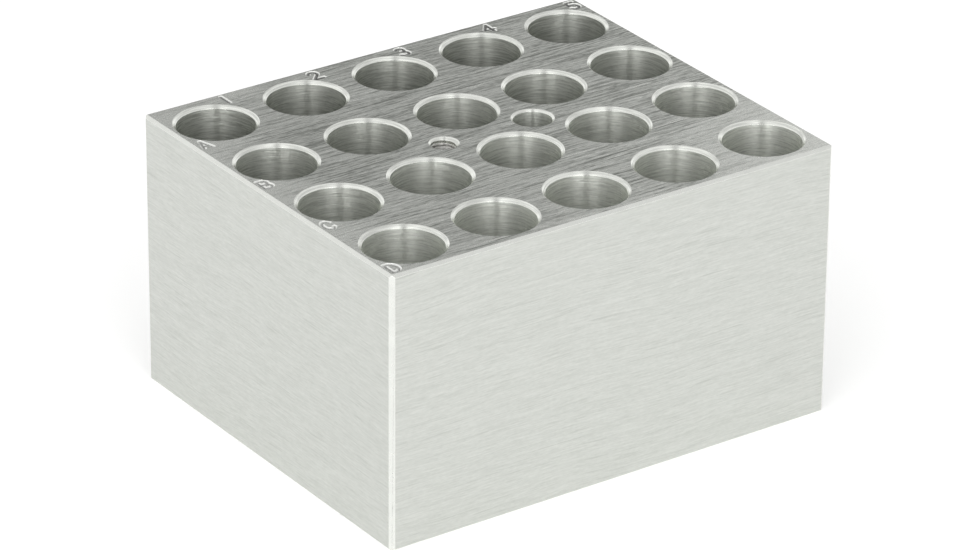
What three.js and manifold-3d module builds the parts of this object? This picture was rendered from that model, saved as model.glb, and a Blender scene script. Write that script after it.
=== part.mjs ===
// Removable well block of a laboratory dry block heater: one aluminium billet with twenty tube wells,
// one thermometer well, a tapped hole for lifting it out, and engraved index characters.
//
// Millimetres, +Z up. The origin is the centre of the underside. +X runs along the long side, from
// column 1 to column 5, and +Y runs from row D at the front to row A at the back.

import * as THREE from "three";
import { mergeVertices } from "three/addons/utils/BufferGeometryUtils.js";
import Module from "manifold-3d";

const wasm = await Module();
wasm.setup();

// Billet. Its chamfers are at 45 degrees, and each is given by the length of its legs.
const LENGTH = 90.8;
const WIDTH = 76.2;
const HEIGHT = 50.9;
const CORNER_CHAMFER = 0.75;
const TOP_CHAMFER = 0.5;
const BOTTOM_CHAMFER = 0.35;

// The grid of wells is centred along the length and sits a little towards the front.
const COLUMNS = ["1", "2", "3", "4", "5"];
const ROWS = ["A", "B", "C", "D"];
const COLUMN_PITCH = 18.43;
const ROW_PITCH = 19.1;
const GRID_CENTRE_Y = -0.4;

// Holes: the part at full diameter ends `depth` below the top face, and a drill point closes it.
const DRILL_POINT_ANGLE = 118;
const TUBE_WELL = { radius: 6.85, chamfer: 0.65, depth: 42, sides: 32 };
const THERMOMETER_WELL = { radius: 3.4, chamfer: 0.4, depth: 42, sides: 24 };
// An M5 thread is cut in the lifting hole, which is modelled at the thread's inner diameter.
const LIFTING_HOLE = { radius: 2.07, chamfer: 0.58, depth: 12, sides: 20 };

// Engraving. The height and the cell width are those of the tool's path, without the groove's width.
const CHARACTER_HEIGHT = 2.9;
const CELL_WIDTH = 0.6;
const GROOVE_WIDTH = 0.82;
const GROOVE_DEPTH = 0.25;
const LETTER_X = -43.3;
const LETTER_BELOW_ROW = 6.4;
const NUMBER_RIGHT_OF_COLUMN = 6.4;
const NUMBER_Y = 35.4;
const ARC_STEP = 36;
const TOOL_SIDES = 8;

// Cutters start this far above the top face, so that none of them ends in the face itself.
const OVERCUT = 0.3;

const { degToRad } = THREE.MathUtils;

// A closed three.js geometry as a solid that can be cut and joined.
function toSolid(geometry) {
  const bare = geometry.clone();
  bare.deleteAttribute("normal");
  bare.deleteAttribute("uv");
  const merged = mergeVertices(bare, 1e-5);
  const mesh = new wasm.Mesh({
    numProp: 3,
    vertProperties: new Float32Array(merged.attributes.position.array),
    triVerts: new Uint32Array(merged.index.array),
  });
  return new wasm.Manifold(mesh);
}

function toGeometry(solid) {
  const mesh = solid.getMesh();
  const geometry = new THREE.BufferGeometry();
  geometry.setAttribute("position", new THREE.BufferAttribute(mesh.vertProperties, 3));
  geometry.setIndex(new THREE.BufferAttribute(mesh.triVerts, 1));
  geometry.computeVertexNormals();
  return geometry;
}

// An outline pushed straight along Z from `bottom` to `top`.
function prism(corners, bottom, top) {
  const outline = new THREE.Shape(corners.map(([x, y]) => new THREE.Vector2(x, y)));
  const geometry = new THREE.ExtrudeGeometry(outline, { depth: top - bottom, bevelEnabled: false });
  return geometry.translate(0, 0, bottom);
}

// The billet seen from above: a rectangle with its corners cut off.
function planOutline() {
  const x = LENGTH / 2;
  const y = WIDTH / 2;
  const c = CORNER_CHAMFER;
  return [[x, y - c], [x - c, y], [-x + c, y], [-x, y - c], [-x, -y + c], [-x + c, -y], [x - c, -y], [x, -y + c]];
}

// The billet seen from one side: a rectangle standing on Z = 0 with its top and bottom edges chamfered.
function sideOutline(length) {
  const x = length / 2;
  const b = BOTTOM_CHAMFER;
  const t = TOP_CHAMFER;
  const h = HEIGHT;
  return [[x - b, 0], [x, b], [x, h - t], [x - t, h], [-x + t, h], [-x, h - t], [-x, b], [-x + b, 0]];
}

// The billet is what its plan, front and end outlines have in common.
function makeBillet() {
  const plan = prism(planOutline(), -1, HEIGHT + 1);
  const front = prism(sideOutline(LENGTH), -LENGTH, LENGTH).rotateX(Math.PI / 2);
  const end = prism(sideOutline(WIDTH), -LENGTH, LENGTH).rotateX(Math.PI / 2).rotateZ(Math.PI / 2);
  return toSolid(plan).intersect(toSolid(front)).intersect(toSolid(end));
}

// The shape that is removed to leave a chamfered blind hole.
function holeCutter({ radius, chamfer, depth, sides }, x, y) {
  const point = radius / Math.tan(degToRad(DRILL_POINT_ANGLE / 2));
  const profile = [
    [0, HEIGHT - depth - point],
    [radius, HEIGHT - depth],
    [radius, HEIGHT - chamfer],
    [radius + chamfer + OVERCUT, HEIGHT + OVERCUT],
    [0, HEIGHT + OVERCUT],
  ];
  const points = profile.map(([r, z]) => new THREE.Vector2(r, z));
  const turned = new THREE.LatheGeometry(points, sides).rotateX(Math.PI / 2);
  return toSolid(turned.translate(x, y, 0));
}

// Tool paths of the index characters, in cells 1 high and CELL_WIDTH wide.
function line(x0, y0, x1, y1) {
  return new THREE.LineCurve(new THREE.Vector2(x0, y0), new THREE.Vector2(x1, y1));
}

function bend(x, y, rx, ry, from, to) {
  return new THREE.EllipseCurve(x, y, rx, ry, degToRad(from), degToRad(to), to < from);
}

const GLYPHS = {
  A: [line(0, 0, 0.3, 1), line(0.3, 1, 0.6, 0), line(0.1, 0.3, 0.5, 0.3)],
  B: [
    line(0, 0, 0, 1),
    line(0, 1, 0.28, 1),
    bend(0.28, 0.76, 0.27, 0.24, 90, -90),
    line(0, 0.52, 0.28, 0.52),
    bend(0.28, 0.26, 0.32, 0.26, 90, -90),
    line(0.28, 0, 0, 0),
  ],
  C: [bend(0.3, 0.5, 0.3, 0.5, 35, 325)],
  D: [line(0, 0, 0, 1), line(0, 1, 0.15, 1), bend(0.15, 0.5, 0.45, 0.5, 90, -90), line(0.15, 0, 0, 0)],
  1: [line(0.3, 0, 0.3, 1)],
  2: [bend(0.3, 0.72, 0.28, 0.28, 170, -35), line(0.53, 0.56, 0, 0), line(0, 0, 0.65, 0)],
  3: [bend(0.28, 0.76, 0.26, 0.24, 150, -90), bend(0.28, 0.26, 0.31, 0.26, 90, -150)],
  4: [line(0.44, 0, 0.44, 1), line(0.44, 1, -0.08, 0.3), line(-0.08, 0.3, 0.62, 0.3)],
  5: [line(0.56, 1, 0.1, 1), line(0.1, 1, 0.04, 0.54), bend(0.28, 0.31, 0.32, 0.31, 140, -150)],
};

// One stroke of a character at its real size, on the top face, with the character centred on (x, y).
class ToolPath extends THREE.Curve {
  constructor(stroke, x, y) {
    super();
    this.stroke = stroke;
    this.x = x;
    this.y = y;
  }

  getPoint(t, target = new THREE.Vector3()) {
    const point = this.stroke.getPoint(t);
    const x = this.x + (point.x - CELL_WIDTH / 2) * CHARACTER_HEIGHT;
    const y = this.y + (point.y - 0.5) * CHARACTER_HEIGHT;
    return target.set(x, y, HEIGHT);
  }
}

// A pointed tool leaves a V groove along its path, and a cone at each end. The section's first axis
// points down and its second axis points across the path.
function grooveCutter(stroke, x, y) {
  const coneHeight = GROOVE_DEPTH + OVERCUT;
  const coneRadius = (GROOVE_WIDTH / 2) * (coneHeight / GROOVE_DEPTH);
  const section = new THREE.Shape([
    new THREE.Vector2(-OVERCUT, -coneRadius),
    new THREE.Vector2(GROOVE_DEPTH, 0),
    new THREE.Vector2(-OVERCUT, coneRadius),
  ]);
  const turn = stroke.isEllipseCurve ? Math.abs(stroke.aEndAngle - stroke.aStartAngle) : 0;
  const steps = Math.max(1, Math.round(turn / degToRad(ARC_STEP)));
  const extrudePath = new ToolPath(stroke, x, y);
  let cutter = toSolid(new THREE.ExtrudeGeometry(section, { steps, extrudePath, bevelEnabled: false }));
  for (const end of [extrudePath.getPoint(0), extrudePath.getPoint(1)]) {
    const cone = new THREE.ConeGeometry(coneRadius, coneHeight, TOOL_SIDES).rotateX(-Math.PI / 2);
    cone.translate(end.x, end.y, HEIGHT + OVERCUT - coneHeight / 2);
    cutter = cutter.add(toSolid(cone));
  }
  return cutter;
}

function engraved(block, character, x, y) {
  return GLYPHS[character].reduce((solid, stroke) => solid.subtract(grooveCutter(stroke, x, y)), block);
}

const columnX = (index) => (index - (COLUMNS.length - 1) / 2) * COLUMN_PITCH;
const rowY = (index) => GRID_CENTRE_Y + ((ROWS.length - 1) / 2 - index) * ROW_PITCH;

function makeBlock() {
  let block = makeBillet();
  COLUMNS.forEach((_, column) => {
    ROWS.forEach((_, row) => {
      block = block.subtract(holeCutter(TUBE_WELL, columnX(column), rowY(row)));
    });
  });
  // The two small holes lie on the grid's middle line, half a pitch to either side of its centre.
  block = block.subtract(holeCutter(LIFTING_HOLE, -COLUMN_PITCH / 2, GRID_CENTRE_Y));
  block = block.subtract(holeCutter(THERMOMETER_WELL, COLUMN_PITCH / 2, GRID_CENTRE_Y));
  COLUMNS.forEach((number, column) => {
    block = engraved(block, number, columnX(column) + NUMBER_RIGHT_OF_COLUMN, NUMBER_Y);
  });
  ROWS.forEach((letter, row) => {
    block = engraved(block, letter, LETTER_X, rowY(row) - LETTER_BELOW_ROW);
  });
  return block;
}

const brushedAluminium = new THREE.MeshStandardMaterial({ color: 0xc9cbc6, roughness: 0.35, metalness: 1 });
const wellBlock = new THREE.Mesh(toGeometry(makeBlock()), brushedAluminium);
wellBlock.name = "well_block";

const heaterBlock = new THREE.Group();
heaterBlock.add(wellBlock);

export default heaterBlock;
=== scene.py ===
import math

import bmesh
import bpy
from mathutils import Matrix, Vector


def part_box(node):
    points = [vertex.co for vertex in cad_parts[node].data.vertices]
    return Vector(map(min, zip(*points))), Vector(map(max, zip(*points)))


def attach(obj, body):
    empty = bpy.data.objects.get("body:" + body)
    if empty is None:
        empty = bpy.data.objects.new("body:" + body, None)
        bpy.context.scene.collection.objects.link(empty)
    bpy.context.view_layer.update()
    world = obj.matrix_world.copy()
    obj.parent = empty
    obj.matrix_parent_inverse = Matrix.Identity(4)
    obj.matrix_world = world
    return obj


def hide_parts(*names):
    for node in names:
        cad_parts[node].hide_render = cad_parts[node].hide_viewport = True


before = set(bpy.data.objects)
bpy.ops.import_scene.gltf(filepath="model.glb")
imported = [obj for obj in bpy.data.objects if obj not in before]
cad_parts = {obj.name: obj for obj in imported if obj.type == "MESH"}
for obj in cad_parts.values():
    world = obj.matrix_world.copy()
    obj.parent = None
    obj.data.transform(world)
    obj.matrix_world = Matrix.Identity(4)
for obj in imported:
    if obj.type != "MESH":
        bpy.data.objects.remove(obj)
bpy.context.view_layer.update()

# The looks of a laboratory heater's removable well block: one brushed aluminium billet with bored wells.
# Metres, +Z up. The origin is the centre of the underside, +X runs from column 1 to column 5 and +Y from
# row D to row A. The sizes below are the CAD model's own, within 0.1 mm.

MM = 0.001

# Billet
CORNER_CHAMFER = 0.75 * MM
TOP_CHAMFER = 0.5 * MM
BOTTOM_CHAMFER = 0.35 * MM
EDGE_BREAK = 0.04 * MM
BOX_LOW, BOX_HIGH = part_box("well_block")
TOP = BOX_HIGH.z

# Grid of wells
COLUMNS = "12345"
ROWS = "ABCD"
COLUMN_PITCH = 18.43 * MM
ROW_PITCH = 19.1 * MM
GRID_CENTRE_Y = -0.4 * MM

# Holes
DRILL_POINT_HALF_ANGLE = math.radians(59)
TUBE_WELL = {"radius": 6.9 * MM, "chamfer": 0.6 * MM, "depth": 42 * MM, "sides": 128}
THERMOMETER_WELL = {"radius": 3.4 * MM, "chamfer": 0.4 * MM, "depth": 42 * MM, "sides": 96}
LIFTING_HOLE = {"radius": 2.07 * MM, "chamfer": 0.58 * MM, "depth": 12 * MM, "sides": 72}
OVERCUT = 0.3 * MM
SAME_PLACE = 0.0002 * MM

# M5 thread of the lifting hole
THREAD_PITCH = 0.8 * MM
THREAD_OUTER_RADIUS = 2.5 * MM
THREAD_LENGTH = 10.5 * MM
THREAD_FLAT = 0.1 * MM
THREAD_CREST = 0.2 * MM
THREAD_OVERLAP = 0.05 * MM
THREAD_SIDES = 64

# Engraving, cut by a ball-nosed tool. The height and the cell width are those of the tool's path.
CHARACTER_HEIGHT = 2.9 * MM
CELL_WIDTH = 0.6
GROOVE_WIDTH = 0.92 * MM
GROOVE_DEPTH = 0.25 * MM
LETTER_X = -43.3 * MM
LETTER_BELOW_ROW = 6.4 * MM
NUMBER_RIGHT_OF_COLUMN = 6.4 * MM
NUMBER_Y = 35.4 * MM
BALL_RADIUS = (GROOVE_WIDTH ** 2 / 4 + GROOVE_DEPTH ** 2) / (2 * GROOVE_DEPTH)
BALL_SIDES = 32
ARC_STEP = 12

# Camera, with its angles in degrees. Azimuth 0 looks along +Y.
CAMERA_PLACE = Vector((-0.49384, -0.70441, 0.44558))
CAMERA_AZIMUTH = -35.067
CAMERA_ELEVATION = 26.149
CAMERA_ROLL = 0.484
CAMERA_LENS = 204.0
CAMERA_SENSOR = 36

# Light. Azimuths are counted from the camera's side, and angles are in degrees.
TENT_STRENGTH = 0.82
SWEEP_STRENGTH = 1.06
SWEEP_FADE = (9, 21)
LEFT_GLOW = {"place": (-100, 35), "size": (15, 50), "add": 0.12}
GREY_GAP = {"azimuth": -172, "half_width": 13, "edge": 4, "add": -0.5}
CAMERA_GLOW = {"place": (0, 5), "size": (8, 76), "add": 1.6}
CAMERA_HAZE = {"azimuth": 0, "half_width": 42, "edge": 32, "add": 0.45}
CAMERA_GAP = {"azimuth": 0, "half_width": 5, "edge": 4, "add": -0.5}
GAP_CLIMB = (6, 22)
GLOW_FADE = (16, 44)
SOFTBOX_DISTANCE = 1.9
SOFTBOX_WIDTH = 0.7
SOFTBOX_HEIGHT = 1.3
SOFTBOX_POWER = 3.0
SOFTBOX_PLACES = {"softbox_left": (-20, 24), "softbox_right": (20, 24)}
FLOOR_SIZE = 12
FLOOR_WHITE = 0.8
FLOOR_GLOW = 0.30


# ---------------------------------------------------------------- shape

def link(name, mesh):
    """A new object made from a bmesh, which is then freed."""
    data = bpy.data.meshes.new(name)
    bmesh.ops.recalc_face_normals(mesh, faces=mesh.faces)
    mesh.to_mesh(data)
    mesh.free()
    made = bpy.data.objects.new(name, data)
    bpy.context.scene.collection.objects.link(made)
    return made


def chamfer_edge(mesh, direction, leg):
    """Cuts the box's edge that lies in `direction` from its centre at 45 degrees."""
    middle = (BOX_LOW + BOX_HIGH) / 2
    size = BOX_HIGH - BOX_LOW
    outward = Vector(direction).normalized()
    edge = middle + Vector([d * s / 2 for d, s in zip(direction, size)])
    geometry = mesh.verts[:] + mesh.edges[:] + mesh.faces[:]
    cut = bmesh.ops.bisect_plane(
        mesh,
        geom=geometry,
        plane_co=edge - outward * leg / math.sqrt(2),
        plane_no=outward,
        clear_outer=True,
    )
    rim = [item for item in cut["geom_cut"] if isinstance(item, bmesh.types.BMEdge)]
    bmesh.ops.contextual_create(mesh, geom=rim)


def make_billet():
    """The billet's box with chamfered edges, each new edge then broken by a hair."""
    mesh = bmesh.new()
    middle = (BOX_LOW + BOX_HIGH) / 2
    size = BOX_HIGH - BOX_LOW
    bmesh.ops.create_cube(mesh, size=1, matrix=Matrix.Translation(middle) @ Matrix.Diagonal((*size, 1)))
    for x, y in [(-1, -1), (-1, 1), (1, -1), (1, 1)]:
        chamfer_edge(mesh, (x, y, 0), CORNER_CHAMFER)
    for z, leg in [(1, TOP_CHAMFER), (-1, BOTTOM_CHAMFER)]:
        for x, y in [(-1, 0), (1, 0), (0, -1), (0, 1)]:
            chamfer_edge(mesh, (x, y, z), leg)
    long_edges = [edge for edge in mesh.edges if edge.calc_length() > 4 * EDGE_BREAK]
    bmesh.ops.bevel(mesh, geom=long_edges, offset=EDGE_BREAK, segments=2, profile=0.5, affect="EDGES")
    return link("well_block_looks", mesh)


def ring(mesh, radius, z, sides):
    """A level circle of vertices, or one vertex where the radius is 0."""
    if radius == 0:
        return [mesh.verts.new((0, 0, z))]
    angles = [2 * math.pi * i / sides for i in range(sides)]
    return [mesh.verts.new((radius * math.cos(a), radius * math.sin(a), z)) for a in angles]


def bridge(mesh, lower, upper):
    """Faces between two closed loops of vertices with the same count, or one of them a single vertex."""
    count = max(len(lower), len(upper))
    for i in range(count):
        corners = []
        for loop, step in [(lower, i), (lower, i + 1), (upper, i + 1), (upper, i)]:
            corner = loop[step % len(loop)]
            if corner not in corners:
                corners.append(corner)
        mesh.faces.new(corners)


def hole_cutter(hole, place):
    """What a drill and a countersink take away, with an eased lip and softened edges inside the hole."""
    radius, chamfer = hole["radius"], hole["chamfer"]
    ease = EDGE_BREAK
    nick = 0.15 * EDGE_BREAK
    floor = TOP - hole["depth"]
    mouth = radius + chamfer
    profile = [
        (0, floor - radius / math.tan(DRILL_POINT_HALF_ANGLE)),
        (radius - 2 * ease, floor - 2 * ease / math.tan(DRILL_POINT_HALF_ANGLE)),
        (radius, floor + ease),
        (radius, TOP - chamfer - nick),
        (radius + nick, TOP - chamfer + nick),
        (mouth - ease, TOP - ease),
        (mouth - 0.1 * ease, TOP - 0.3 * ease),
        (mouth + 2.4 * ease, TOP + 0.7 * ease),
        (mouth + 3 * ease, TOP + OVERCUT),
        (0, TOP + OVERCUT),
    ]
    mesh = bmesh.new()
    rings = [ring(mesh, r, z, hole["sides"]) for r, z in profile]
    for lower, upper in zip(rings, rings[1:]):
        bridge(mesh, lower, upper)
    bmesh.ops.translate(mesh, verts=mesh.verts, vec=place)
    return link("hole_cutter", mesh)


def thread_cutter(place):
    """The space a tap takes away: a right-handed screw whose rows of vertices follow the helix.

    The 60 degree flanks run on a little way inside the bore, so that no two surfaces coincide.
    """
    flank = (THREAD_PITCH - THREAD_FLAT - THREAD_CREST) / 2
    inner = THREAD_OUTER_RADIUS - flank * math.sqrt(3) - THREAD_OVERLAP
    section = [
        (0, THREAD_OUTER_RADIUS),
        (THREAD_FLAT, THREAD_OUTER_RADIUS),
        (THREAD_FLAT + flank, inner),
        (THREAD_PITCH - flank, inner),
    ]
    per_turn = len(section)
    last = per_turn * round(THREAD_LENGTH / THREAD_PITCH)
    mesh = bmesh.new()
    columns = []
    for i in range(THREAD_SIDES):
        angle = 2 * math.pi * i / THREAD_SIDES
        rise = TOP - THREAD_LENGTH + THREAD_PITCH * i / THREAD_SIDES
        column = []
        for row in range(last + 1):
            turn, step = divmod(row, per_turn)
            height, radius = section[step]
            z = rise + turn * THREAD_PITCH + height
            column.append(mesh.verts.new((radius * math.cos(angle), radius * math.sin(angle), z)))
        columns.append(column)
    for here, after in zip(columns, columns[1:]):
        for row in range(last):
            mesh.faces.new((here[row], after[row], after[row + 1], here[row + 1]))
    first, end = columns[0], columns[-1]
    for row in range(last - per_turn):
        mesh.faces.new((end[row], first[row + per_turn], first[row + per_turn + 1], end[row + 1]))
    bottom = [column[0] for column in columns] + first[per_turn:0:-1]
    top = [column[last] for column in columns] + end[last - 1:last - per_turn - 1:-1]
    for loop in (bottom, top):
        z = sum(vertex.co.z for vertex in loop) / len(loop)
        bridge(mesh, loop, [mesh.verts.new((0, 0, z))])
    bmesh.ops.translate(mesh, verts=mesh.verts, vec=place)
    return link("thread_cutter", mesh)


def line(x0, y0, x1, y1):
    """A straight tool path."""
    return [(x0, y0), (x1, y1)]


def bend(x, y, rx, ry, start, end):
    """A tool path along part of an ellipse, from one angle to another in degrees."""
    steps = round(abs(end - start) / ARC_STEP)
    angles = [math.radians(start + (end - start) * i / steps) for i in range(steps + 1)]
    return [(x + rx * math.cos(a), y + ry * math.sin(a)) for a in angles]


# Tool paths of the index characters, in cells 1 high and CELL_WIDTH wide
GLYPHS = {
    "A": [line(0, 0, 0.3, 1), line(0.3, 1, 0.6, 0), line(0.1, 0.3, 0.5, 0.3)],
    "B": [
        line(0, 0, 0, 1),
        line(0, 1, 0.28, 1),
        bend(0.28, 0.76, 0.27, 0.24, 90, -90),
        line(0, 0.52, 0.28, 0.52),
        bend(0.28, 0.26, 0.32, 0.26, 90, -90),
        line(0.28, 0, 0, 0),
    ],
    "C": [bend(0.3, 0.5, 0.3, 0.5, 35, 325)],
    "D": [line(0, 0, 0, 1), line(0, 1, 0.15, 1), bend(0.15, 0.5, 0.45, 0.5, 90, -90), line(0.15, 0, 0, 0)],
    "1": [line(0.3, 0, 0.3, 1)],
    "2": [bend(0.3, 0.72, 0.28, 0.28, 170, -35), line(0.53, 0.56, 0, 0), line(0, 0, 0.65, 0)],
    "3": [bend(0.28, 0.76, 0.26, 0.24, 150, -90), bend(0.28, 0.26, 0.31, 0.26, 90, -150)],
    "4": [line(0.44, 0, 0.44, 1), line(0.44, 1, -0.08, 0.3), line(-0.08, 0.3, 0.62, 0.3)],
    "5": [line(0.56, 1, 0.1, 1), line(0.1, 1, 0.04, 0.54), bend(0.28, 0.31, 0.32, 0.31, 140, -150)],
}


def ball_cutter(path):
    """The space that a ball-nosed tool sweeps along a level path: a round bar with round ends."""
    quarter = BALL_SIDES // 4
    caps = []
    for end, outward in [(path[0], path[0] - path[1]), (path[-1], path[-1] - path[-2])]:
        cap = []
        for i in range(quarter):
            angle = math.pi / 2 * (i / quarter)
            reach = outward.normalized() * BALL_RADIUS * math.cos(angle)
            cap.append((end + reach, BALL_RADIUS * math.sin(angle)))
        caps.append(cap)
    middle = [(point, BALL_RADIUS) for point in path]
    stations = caps[0] + middle + caps[1][::-1]
    mesh = bmesh.new()
    loops = []
    for i, (point, radius) in enumerate(stations):
        if radius == 0:
            loops.append([mesh.verts.new(point)])
            continue
        here = min(max(i - quarter, 0), len(path) - 1)
        along = path[min(here + 1, len(path) - 1)] - path[max(here - 1, 0)]
        across = along.cross(Vector((0, 0, 1))).normalized()
        loop = []
        for side in range(BALL_SIDES):
            angle = 2 * math.pi * side / BALL_SIDES
            offset = across * math.cos(angle) + Vector((0, 0, math.sin(angle)))
            loop.append(mesh.verts.new(point + offset * radius))
        loops.append(loop)
    for lower, upper in zip(loops, loops[1:]):
        bridge(mesh, lower, upper)
    return link("ball_cutter", mesh)


def glyph_cutters(character, x, y):
    """One cutter for each stroke of a character that is centred on (x, y) on the top face."""
    cutters = []
    for stroke in GLYPHS[character]:
        height = TOP - GROOVE_DEPTH + BALL_RADIUS
        path = []
        for px, py in stroke:
            across = x + (px - CELL_WIDTH / 2) * CHARACTER_HEIGHT
            path.append(Vector((across, y + (py - 0.5) * CHARACTER_HEIGHT, height)))
        cutters.append(ball_cutter(path))
    return cutters


def column_x(index):
    """Where a column of wells lies, counted from 0 at column 1."""
    return (index - (len(COLUMNS) - 1) / 2) * COLUMN_PITCH


def row_y(index):
    """Where a row of wells lies, counted from 0 at row A."""
    return GRID_CENTRE_Y + ((len(ROWS) - 1) / 2 - index) * ROW_PITCH


WELL_PLACES = [Vector((column_x(c), row_y(r), 0)) for c in range(len(COLUMNS)) for r in range(len(ROWS))]
LIFTING_PLACE = Vector((-COLUMN_PITCH / 2, GRID_CENTRE_Y, 0))
THERMOMETER_PLACE = Vector((COLUMN_PITCH / 2, GRID_CENTRE_Y, 0))


def cut(block, cutters):
    """Takes every cutter away from the block, and then removes the cutters."""
    tools = bpy.data.collections.new("cutters")
    for cutter in cutters:
        tools.objects.link(cutter)
    boolean = block.modifiers.new("cut", "BOOLEAN")
    boolean.operation = "DIFFERENCE"
    boolean.solver = "MANIFOLD"
    boolean.operand_type = "COLLECTION"
    boolean.collection = tools
    evaluated = block.evaluated_get(bpy.context.evaluated_depsgraph_get())
    result = bpy.data.meshes.new_from_object(evaluated)
    block.modifiers.remove(boolean)
    result.materials.clear()
    block.data = result
    for cutter in cutters:
        bpy.data.objects.remove(cutter)
    bpy.data.collections.remove(tools)


def clean(block):
    """Joins corners that the cutting left in one place, and splits faces with over four corners."""
    mesh = bmesh.new()
    mesh.from_mesh(block.data)
    bmesh.ops.remove_doubles(mesh, verts=mesh.verts, dist=SAME_PLACE)
    bmesh.ops.dissolve_degenerate(mesh, edges=mesh.edges, dist=SAME_PLACE)
    bmesh.ops.triangulate(mesh, faces=[face for face in mesh.faces if len(face.verts) > 4])
    mesh.to_mesh(block.data)
    mesh.free()
    block.data.validate()


def make_block():
    """The billet with its holes, its thread and its characters cut."""
    block = make_billet()
    holes = [hole_cutter(TUBE_WELL, place) for place in WELL_PLACES]
    holes.append(hole_cutter(THERMOMETER_WELL, THERMOMETER_PLACE))
    holes.append(hole_cutter(LIFTING_HOLE, LIFTING_PLACE))
    cut(block, holes)
    cut(block, [thread_cutter(LIFTING_PLACE)])
    strokes = []
    for index, number in enumerate(COLUMNS):
        strokes += glyph_cutters(number, column_x(index) + NUMBER_RIGHT_OF_COLUMN, NUMBER_Y)
    for index, letter in enumerate(ROWS):
        strokes += glyph_cutters(letter, LETTER_X, row_y(index) - LETTER_BELOW_ROW)
    cut(block, strokes)
    clean(block)
    return block


# ---------------------------------------------------------------- surfaces

BRUSHED_TOP, BRUSHED_SIDE, MACHINED_EDGE, BORED_WALL, TURNED_RIM, THREAD, ENGRAVED = range(7)

# A face within LEVEL of the top belongs to it. The others are limits on parts of a face's normal, which
# tell flat sides from chamfers, countersinks from threads, and which way a face looks.
LEVEL = 1e-6
SQUARE = 0.99
COUNTERSUNK = 0.6
UPRIGHT = 0.3
ENDWAYS = 0.5

# Edges sharper than this many degrees stay crisp.
CRISP = 9
CRISP_IN_GROOVE = 32


def nearest_hole(point):
    """The hole that a point above the underside belongs to and the hole's place, or None."""
    if point.z < BOTTOM_CHAMFER:
        return None
    holes = [(TUBE_WELL, place) for place in WELL_PLACES]
    holes += [(THERMOMETER_WELL, THERMOMETER_PLACE), (LIFTING_HOLE, LIFTING_PLACE)]
    for hole, place in holes:
        if (point - place).xy.length < hole["radius"] + hole["chamfer"] + 2 * EDGE_BREAK:
            return hole, place
    return None


def surface_of(face, hole):
    """Which of the block's finishes a face has."""
    normal, centre = face.normal, face.center
    if centre.z > TOP - LEVEL:
        return BRUSHED_TOP
    if hole is LIFTING_HOLE:
        countersunk = normal.z > COUNTERSUNK and centre.z > TOP - 2 * hole["chamfer"]
        return TURNED_RIM if countersunk else THREAD
    if hole is not None:
        return TURNED_RIM if centre.z > TOP - hole["chamfer"] - EDGE_BREAK else BORED_WALL
    inside = abs(centre.x) < BOX_HIGH.x - TOP_CHAMFER and abs(centre.y) < BOX_HIGH.y - TOP_CHAMFER
    if inside and centre.z > TOP - 2 * GROOVE_DEPTH:
        return ENGRAVED
    if max(abs(normal.x), abs(normal.y), abs(normal.z)) > SQUARE:
        return BRUSHED_SIDE
    return MACHINED_EDGE


def grain_axis(face, surface, place):
    """The direction in which the tool that finished a face ran over it."""
    normal = face.normal
    if surface in (BORED_WALL, TURNED_RIM, THREAD):
        outward = face.center - place
        return Vector((-outward.y, outward.x, 0)).normalized()
    if surface == MACHINED_EDGE and abs(normal.z) < UPRIGHT:
        return Vector((0, 0, 1))
    if abs(normal.x) > ENDWAYS:
        return Vector((0, 1, 0))
    return Vector((1, 0, 0))


def sharpen_edges(data):
    """Keeps every corner crisp except those inside the grooves, whose facets are larger."""
    mesh = bmesh.new()
    mesh.from_mesh(data)
    for edge in mesh.edges:
        grooves = [face.material_index == ENGRAVED for face in edge.link_faces]
        limit = CRISP_IN_GROOVE if all(grooves) else CRISP
        edge.smooth = edge.calc_face_angle(0) < math.radians(limit)
    mesh.to_mesh(data)
    mesh.free()


def finish_surfaces(block):
    """Gives each face its finish, and a UV map whose U runs across the tool marks."""
    mesh = block.data
    across_grain = mesh.uv_layers.new(name="across_grain")
    for face in mesh.polygons:
        found = nearest_hole(face.center)
        hole, place = found if found else (None, None)
        surface = surface_of(face, hole)
        face.material_index = surface
        along = grain_axis(face, surface, place)
        across = face.normal.cross(along).normalized()
        for loop in face.loop_indices:
            offset = mesh.vertices[mesh.loops[loop].vertex_index].co
            across_grain.data[loop].uv = (offset.dot(across), offset.dot(along))
    mesh.shade_smooth()
    sharpen_edges(mesh)
    weighted = block.modifiers.new("flat_faces_lead", "WEIGHTED_NORMAL")
    weighted.mode = "FACE_AREA"
    weighted.weight = 100
    weighted.keep_sharp = True


# ---------------------------------------------------------------- materials

class ShaderGraph:
    """A node tree, with helpers that add nodes and connect them."""

    def __init__(self, tree):
        self.nodes = tree.nodes
        self.links = tree.links

    def put(self, value, socket):
        """Feeds a socket from another node's output, or sets it to a constant."""
        if isinstance(value, bpy.types.NodeSocket):
            self.links.new(value, socket)
        else:
            socket.default_value = value

    def math(self, operation, first, second=0.0):
        node = self.nodes.new("ShaderNodeMath")
        node.operation = operation
        self.put(first, node.inputs[0])
        self.put(second, node.inputs[1])
        return node.outputs["Value"]

    def vector(self, operation, first, second=(0, 0, 0)):
        node = self.nodes.new("ShaderNodeVectorMath")
        node.operation = operation
        self.put(first, node.inputs[0])
        self.put(second, node.inputs[1])
        return node


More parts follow.
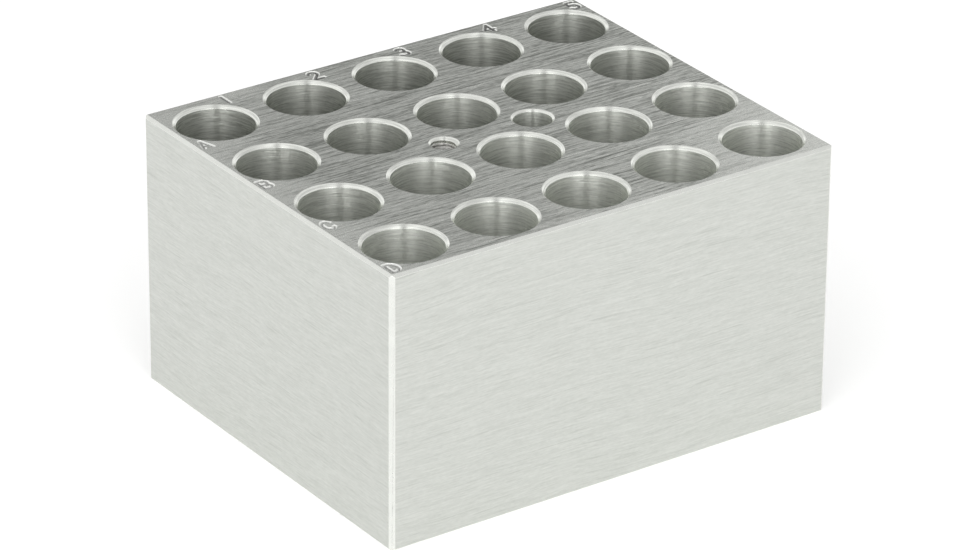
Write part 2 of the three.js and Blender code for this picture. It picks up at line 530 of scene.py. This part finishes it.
class Finish(ShaderGraph):
    """A metal finish: one Principled shader, with helpers that add the nodes feeding it."""

    def __init__(self, name, roughness, anisotropy):
        self.material = bpy.data.materials.new(name)
        self.material.use_nodes = True
        super().__init__(self.material.node_tree)
        self.shader = self.nodes["Principled BSDF"]
        self.shader.inputs["Metallic"].default_value = 1
        self.shader.inputs["Roughness"].default_value = roughness
        self.shader.inputs["Anisotropic"].default_value = anisotropy
        tangent = self.nodes.new("ShaderNodeTangent")
        tangent.direction_type = "UV_MAP"
        tangent.uv_map = "across_grain"
        self.links.new(tangent.outputs["Tangent"], self.shader.inputs["Tangent"])
        self.place = self.nodes.new("ShaderNodeTexCoord").outputs["Object"]

    def noise(self, scale, detail=2, shift=(0, 0, 0), roughness=0.5):
        """Noise with `scale` features per millimetre along X, Y and Z, about 0.5 in the middle."""
        mapping = self.nodes.new("ShaderNodeMapping")
        mapping.inputs["Scale"].default_value = [s / MM for s in scale]
        mapping.inputs["Location"].default_value = shift
        texture = self.nodes.new("ShaderNodeTexNoise")
        texture.inputs["Scale"].default_value = 1
        texture.inputs["Detail"].default_value = detail
        texture.inputs["Roughness"].default_value = roughness
        self.links.new(self.place, mapping.inputs["Vector"])
        self.links.new(mapping.outputs["Vector"], texture.inputs["Vector"])
        return texture.outputs["Fac"]

    def wave(self, axis, reach, scale):
        """Bends all the marks made after this gently, by up to about a quarter of `reach` millimetres."""
        offset = self.math("MULTIPLY", self.math("SUBTRACT", self.noise(scale), 0.5), reach * MM)
        combine = self.nodes.new("ShaderNodeCombineXYZ")
        self.links.new(offset, combine.inputs[axis])
        self.place = self.vector("ADD", self.place, combine.outputs["Vector"]).outputs["Vector"]

    def near(self, centre, reach):
        """1 at a place in millimetres, falling evenly to 0 at the distance `reach` along each axis."""
        away = self.vector("SUBTRACT", self.place, [c * MM for c in centre]).outputs["Vector"]
        shares = self.vector("MULTIPLY", away, [1 / (r * MM) for r in reach]).outputs["Vector"]
        distance = self.vector("LENGTH", shares).outputs["Value"]
        return self.span(distance, 1, 0, 0, 1)

    def pits(self, per_mm, radius):
        """1 inside small pits scattered at random, each no wider than twice the radius in millimetres."""
        scaled = self.vector("MULTIPLY", self.place, [per_mm / MM] * 3).outputs["Vector"]
        texture = self.nodes.new("ShaderNodeTexVoronoi")
        texture.inputs["Scale"].default_value = 1
        self.links.new(scaled, texture.inputs["Vector"])
        return self.span(texture.outputs["Distance"], 1, 0, 0.6 * radius * per_mm, radius * per_mm)

    def span(self, value, low, high, from_low=0.3, from_high=0.7):
        """Stretches a value from one range to another, held inside the new one."""
        node = self.nodes.new("ShaderNodeMapRange")
        node.inputs["From Min"].default_value = from_low
        node.inputs["From Max"].default_value = from_high
        node.inputs["To Min"].default_value = low
        node.inputs["To Max"].default_value = high
        self.links.new(value, node.inputs["Value"])
        return node.outputs["Result"]

    def colour(self, share, first, second):
        """Colours the metal from the first colour to the second as the share goes from 0 to 1."""
        node = self.nodes.new("ShaderNodeMix")
        node.data_type = "RGBA"
        sockets = {socket.identifier: socket for socket in [*node.inputs, *node.outputs]}
        sockets["A_Color"].default_value = (*first, 1)
        sockets["B_Color"].default_value = (*second, 1)
        self.links.new(share, sockets["Factor_Float"])
        self.links.new(sockets["Result_Color"], self.shader.inputs["Base Color"])

    def rough(self, value):
        """Makes the metal's roughness follow a value."""
        self.links.new(value, self.shader.inputs["Roughness"])

    def bump(self, height, depth, strength):
        """Relief of the given depth in metres."""
        node = self.nodes.new("ShaderNodeBump")
        node.inputs["Strength"].default_value = strength
        node.inputs["Distance"].default_value = depth
        self.links.new(height, node.inputs["Height"])
        self.links.new(node.outputs["Normal"], self.shader.inputs["Normal"])


# A reach in millimetres so long that the place along that axis doesn't matter
ANYWHERE = 1e5


def brushed_top():
    """Abrasive marks along X in dark and light streaks, with painted highlights that make the top lighter
    near its left border, its front right corner, its back and its front.
    """
    finish = Finish("brushed_top", 0.34, 0.85)
    # Painted highlights: areas of the top made lighter in colour, standing in for brighter reflections
    # near the borders and the front right corner.
    left = finish.near((-49, 0, 51), (15, 120, 15))
    corner = finish.near((48, -38, 51), (30, 34, 30))
    back = finish.near((-28, 38, 51), (34, 24, 34))
    front = finish.near((0, -60, 51), (400, 70, 70))
    finish.wave("Y", 1.5, (0.03, 0.03, 0.03))
    broad = finish.noise((0.04, 0.25, 0.1), detail=2)
    coarse = finish.noise((0.09, 1.9, 0.1), detail=4, shift=(3, 7, 1), roughness=0.6)
    fine = finish.noise((0.6, 3.4, 0.1), detail=3, shift=(9, 2, 4), roughness=0.6)
    deep = finish.noise((0.06, 2.4, 0.1), detail=3, shift=(5, 5, 8), roughness=0.65)
    bright = finish.noise((0.05, 2.2, 0.1), detail=3, shift=(1, 9, 6), roughness=0.65)
    streaks = finish.math("ADD", finish.span(broad, 0, 0.12), finish.span(coarse, 0, 0.47, 0.42, 0.58))
    streaks = finish.math("ADD", streaks, finish.span(fine, 0, 0.33, 0.43, 0.57))
    streaks = finish.math("SUBTRACT", streaks, finish.span(deep, 0, 0.42, 0.56, 0.63))
    streaks = finish.math("ADD", streaks, finish.span(bright, 0, 0.45, 0.60, 0.68))
    # The painted highlights are added to the streaks here, each with its own strength.
    for area, gain in [(left, 0.8), (corner, 0.8), (back, 0.35), (front, 0.25)]:
        streaks = finish.math("ADD", streaks, finish.math("MULTIPLY", area, gain))
    finish.colour(streaks, (0.265, 0.275, 0.253), (0.98, 1.0, 0.95))
    finish.rough(finish.span(streaks, 0.40, 0.25, 0, 1))
    finish.bump(streaks, 0.025 * MM, 0.9)
    return finish.material


def brushed_side():
    """Fine scratches along each side's length, gently wavy, with a few longer dark ones and tiny pits."""
    finish = Finish("brushed_side", 0.36, 0.5)
    pits = finish.pits(0.2, 0.17)
    finish.wave("Z", 5, (0.018, 0.018, 0.018))
    coarse = finish.noise((0.09, 0.09, 2.6), detail=4, shift=(5, 1, 8), roughness=0.6)
    fine = finish.noise((0.3, 0.3, 5), detail=3, shift=(2, 6, 3), roughness=0.6)
    grain = finish.noise((1.2, 1.2, 4), detail=2, shift=(4, 3, 1))
    deep = finish.noise((0.09, 0.09, 3.5), detail=3, shift=(7, 9, 4), roughness=0.6)
    streaks = finish.math("ADD", finish.span(coarse, 0, 0.25), finish.span(fine, 0, 0.5))
    streaks = finish.math("ADD", streaks, finish.span(grain, 0, 0.25))
    streaks = finish.math("SUBTRACT", streaks, finish.span(deep, 0, 0.5, 0.60, 0.70))
    streaks = finish.math("SUBTRACT", streaks, finish.math("MULTIPLY", pits, 0.8))
    finish.colour(streaks, (0.514, 0.529, 0.497), (0.672, 0.684, 0.652))
    finish.rough(finish.span(streaks, 0.40, 0.32, 0, 1))
    finish.bump(streaks, 0.006 * MM, 0.4)
    return finish.material


def machined_edge():
    """The clean, brighter cut of the outer chamfers."""
    finish = Finish("machined_edge", 0.25, 0.4)
    marks = finish.noise((0.5, 0.5, 0.5), detail=3)
    finish.colour(marks, (0.74, 0.752, 0.718), (0.825, 0.838, 0.80))
    finish.rough(finish.span(marks, 0.22, 0.30))
    return finish.material


def turned_rim():
    """Bright countersunk mouths with marks that run round the hole."""
    finish = Finish("turned_rim", 0.22, 0.5)
    noise = finish.noise((0.2, 0.2, 5), detail=3, shift=(4, 4, 9), roughness=0.6)
    rings = finish.span(noise, 0, 1, 0.38, 0.62)
    finish.colour(rings, (0.64, 0.652, 0.618), (0.885, 0.9, 0.855))
    finish.rough(finish.span(rings, 0.28, 0.18, 0, 1))
    finish.bump(rings, 0.008 * MM, 0.6)
    return finish.material


def bored_wall():
    """Tool rings round the wells, stronger where the tool chattered, and a painted highlight that makes
    the walls lighter in the front rows.
    """
    finish = Finish("bored_wall", 0.38, 0.9)
    patches = finish.noise((0.05, 0.05, 0.05), detail=1, shift=(2, 5, 5))
    chatter = finish.span(patches, 0.25, 1, 0.4, 0.6)
    finish.wave("Z", 0.8, (0.12, 0.12, 0.12))
    fine = finish.noise((0.2, 0.2, 3.2), detail=4, shift=(1, 8, 2), roughness=0.7)
    coarse = finish.noise((0.12, 0.12, 1.2), detail=3, shift=(6, 3, 7), roughness=0.6)
    bright = finish.noise((0.25, 0.25, 3.2), detail=4, shift=(8, 4, 3), roughness=0.65)
    rings = finish.math("ADD", finish.span(fine, 0, 0.6, 0.40, 0.60), finish.span(coarse, 0, 0.12))
    arcs = finish.math("MULTIPLY", finish.span(bright, 0, 0.6, 0.55, 0.68), chatter)
    rings = finish.math("ADD", rings, arcs)
    # Painted highlight: the walls are lighter in colour towards the front rows, fading towards the back.
    forward_highlight = finish.near((0, -150, 0), (ANYWHERE, 200, ANYWHERE))
    clean = finish.span(forward_highlight, 0.06, 0.40, 0.11, 0.4)
    shade = finish.math("ADD", finish.math("MULTIPLY", rings, 0.8), clean)
    finish.colour(shade, (0.33, 0.341, 0.308), (0.98, 1.0, 0.945))
    finish.rough(finish.span(rings, 0.42, 0.30, 0, 1))
    finish.bump(rings, 0.02 * MM, 0.9)
    return finish.material


def tapped_thread():
    """Slightly torn metal with marks that run round the thread, and painted shade that darkens the
    thread's root.
    """
    finish = Finish("tapped_thread", 0.45, 0.9)
    marks = finish.span(finish.noise((0.8, 0.8, 6), detail=3), 0, 0.5)
    outer = THREAD_OUTER_RADIUS / MM
    # Painted shade: the colour darkens towards the outer radius, in the root of the thread.
    inside = finish.near(LIFTING_PLACE / MM, (outer, outer, 1000))
    full_shade, no_shade = 0.1 / outer, 0.4 / outer
    clean = finish.span(inside, 0, 0.8, full_shade, no_shade)
    finish.colour(finish.math("ADD", marks, clean), (0.38, 0.375, 0.355), (1.0, 0.99, 0.96))
    finish.rough(finish.span(marks, 0.38, 0.52, 0, 0.5))
    finish.bump(marks, 0.015 * MM, 0.5)
    return finish.material


def engraved():
    """Clean grooves with painted shade that darkens their bottoms, stronger towards the back right corner.
    """
    finish = Finish("engraved_groove", 0.28, 0.2)
    marks = finish.noise((3, 3, 3), detail=2)
    # Painted shade: the groove bottoms are darkened in colour, more towards the back right corner.
    shallow = finish.near((0, 0, TOP / MM), (ANYWHERE, ANYWHERE, GROOVE_DEPTH / MM))
    shade_strength = finish.span(finish.near((46, 38, 51), (90, 90, 90)), 0.25, 0.75, 0, 0.26)
    painted_shade = finish.math("MULTIPLY", finish.span(shallow, 1, 0, 0.2, 0.5), shade_strength)
    metal = finish.span(marks, 0.8, 1)
    finish.colour(finish.math("SUBTRACT", metal, painted_shade), (0.12, 0.122, 0.117), (0.95, 0.96, 0.93))
    finish.rough(finish.span(marks, 0.22, 0.38))
    finish.bump(marks, 0.006 * MM, 0.5)
    return finish.material


# ---------------------------------------------------------------- studio

def make_floor():
    """A white table that also glows a little, as a lit acrylic sheet does."""
    bpy.ops.mesh.primitive_plane_add(size=FLOOR_SIZE)
    floor = bpy.context.object
    floor.name = "studio_floor"
    material = bpy.data.materials.new("pale_floor")
    material.use_nodes = True
    shader = material.node_tree.nodes["Principled BSDF"]
    shader.inputs["Base Color"].default_value = (FLOOR_WHITE, FLOOR_WHITE, FLOOR_WHITE, 1)
    shader.inputs["Roughness"].default_value = 0.9
    shader.inputs["Specular IOR Level"].default_value = 0
    shader.inputs["Emission Color"].default_value = (1, 1, 1, 1)
    shader.inputs["Emission Strength"].default_value = FLOOR_GLOW
    floor.data.materials.append(material)


def compass(azimuth, elevation):
    """The unit vector towards a place on the sky, in degrees from the camera's side and up."""
    a = math.radians(CAMERA_AZIMUTH + azimuth)
    e = math.radians(elevation)
    return Vector((math.sin(a) * math.cos(e), -math.cos(a) * math.cos(e), math.sin(e)))


class Tent(ShaderGraph):
    """The light from all round: a world shader built up from smooth areas of the sky."""

    def __init__(self):
        world = bpy.data.worlds.new("studio")
        bpy.context.scene.world = world
        world.use_nodes = True
        super().__init__(world.node_tree)
        self.direction = self.nodes.new("ShaderNodeTexCoord").outputs["Generated"]
        self.background = self.nodes["Background"]
        self.background.inputs["Color"].default_value = (1.0, 1.0, 0.995, 1)

    def towards(self, azimuth, elevation):
        """The cosine of the angle between the direction looked in and a place."""
        place = compass(azimuth, elevation)
        return self.vector("DOT_PRODUCT", self.direction, place).outputs["Value"]

    def fade(self, value, start, end, low, high):
        """Goes smoothly from low to high as the value goes from start to end."""
        node = self.nodes.new("ShaderNodeMapRange")
        node.interpolation_type = "SMOOTHSTEP"
        numbers = {"Value": value, "From Min": start, "From Max": end, "To Min": low, "To Max": high}
        for name, number in numbers.items():
            self.put(number, node.inputs[name])
        return node.outputs["Result"]

    def spot(self, place, size, add):
        """A round area, full inside the first angle of its size and gone past the second."""
        inner, outer = [math.cos(math.radians(angle)) for angle in size]
        return self.fade(self.towards(*place), outer, inner, 0.0, add)

    def strip(self, azimuth, half_width, edge, add):
        """An upright strip of sky with soft edges, which dies out overhead."""
        aside = self.math("ABSOLUTE", self.towards(azimuth + 90, 0))
        start, end = [math.sin(math.radians(half_width + side * edge)) for side in (-1, 1)]
        ahead = self.fade(self.towards(azimuth, 0), 0.2, 0.45, 0.0, 1.0)
        return self.math("MULTIPLY", self.fade(aside, start, end, add, 0.0), ahead)

    def climb(self, angles, low, high):
        """Goes from low to high as the elevation goes through the two angles."""
        split = self.nodes.new("ShaderNodeSeparateXYZ")
        self.links.new(self.direction, split.inputs["Vector"])
        start, end = [math.sin(math.radians(angle)) for angle in angles]
        return self.fade(split.outputs["Z"], start, end, low, high)


def make_world():
    """An even white tent over a white sweep, with a grey gap behind the block and one at the camera."""
    tent = Tent()
    strength = tent.math("ADD", tent.spot(**LEFT_GLOW), TENT_STRENGTH)
    strength = tent.climb(SWEEP_FADE, SWEEP_STRENGTH, strength)
    strength = tent.math("ADD", strength, tent.strip(**GREY_GAP))
    glow = tent.math("MULTIPLY", tent.spot(**CAMERA_GLOW), tent.climb(GLOW_FADE, 1.0, 0.0))
    strength = tent.math("ADD", tent.math("ADD", strength, glow), tent.strip(**CAMERA_HAZE))
    gap = tent.math("MULTIPLY", tent.strip(**CAMERA_GAP), tent.climb(GAP_CLIMB, 1.0, 1.5))
    strength = tent.math("MULTIPLY", strength, tent.math("ADD", gap, 1.0))
    tent.put(strength, tent.background.inputs["Strength"])


def make_softbox(name, azimuth, elevation):
    """A large, weak area light that faces the block."""
    data = bpy.data.lights.new(name, "AREA")
    data.shape = "RECTANGLE"
    data.size = SOFTBOX_WIDTH
    data.size_y = SOFTBOX_HEIGHT
    data.energy = SOFTBOX_POWER
    softbox = bpy.data.objects.new(name, data)
    bpy.context.scene.collection.objects.link(softbox)
    outward = compass(azimuth, elevation)
    softbox.location = outward * SOFTBOX_DISTANCE
    softbox.rotation_mode = "QUATERNION"
    softbox.rotation_quaternion = outward.to_track_quat("Z", "Y")


def make_camera():
    """The camera at its place, turned towards the block and rolled by a hair."""
    data = bpy.data.cameras.new("camera")
    data.lens = CAMERA_LENS
    data.sensor_width = CAMERA_SENSOR
    data.clip_start = 0.05
    data.clip_end = 50
    camera = bpy.data.objects.new("camera", data)
    bpy.context.scene.collection.objects.link(camera)
    back = compass(0, CAMERA_ELEVATION)
    right = compass(90, 0)
    level = Matrix((right, back.cross(right), back)).transposed()
    turned = level @ Matrix.Rotation(math.radians(CAMERA_ROLL), 3, "Z")
    camera.matrix_world = Matrix.Translation(CAMERA_PLACE) @ turned.to_4x4()
    bpy.context.scene.camera = camera


# ---------------------------------------------------------------- scene

make_camera()
block = make_block()
finish_surfaces(block)
# The finishes come in the order of the surfaces' numbers.
for make in [brushed_top, brushed_side, machined_edge, bored_wall, turned_rim, tapped_thread, engraved]:
    block.data.materials.append(make())
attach(block, "root")
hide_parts("well_block")

make_floor()
make_world()
for name, (azimuth, elevation) in SOFTBOX_PLACES.items():
    make_softbox(name, azimuth, elevation)
bpy.context.scene.view_settings.view_transform = "Standard"
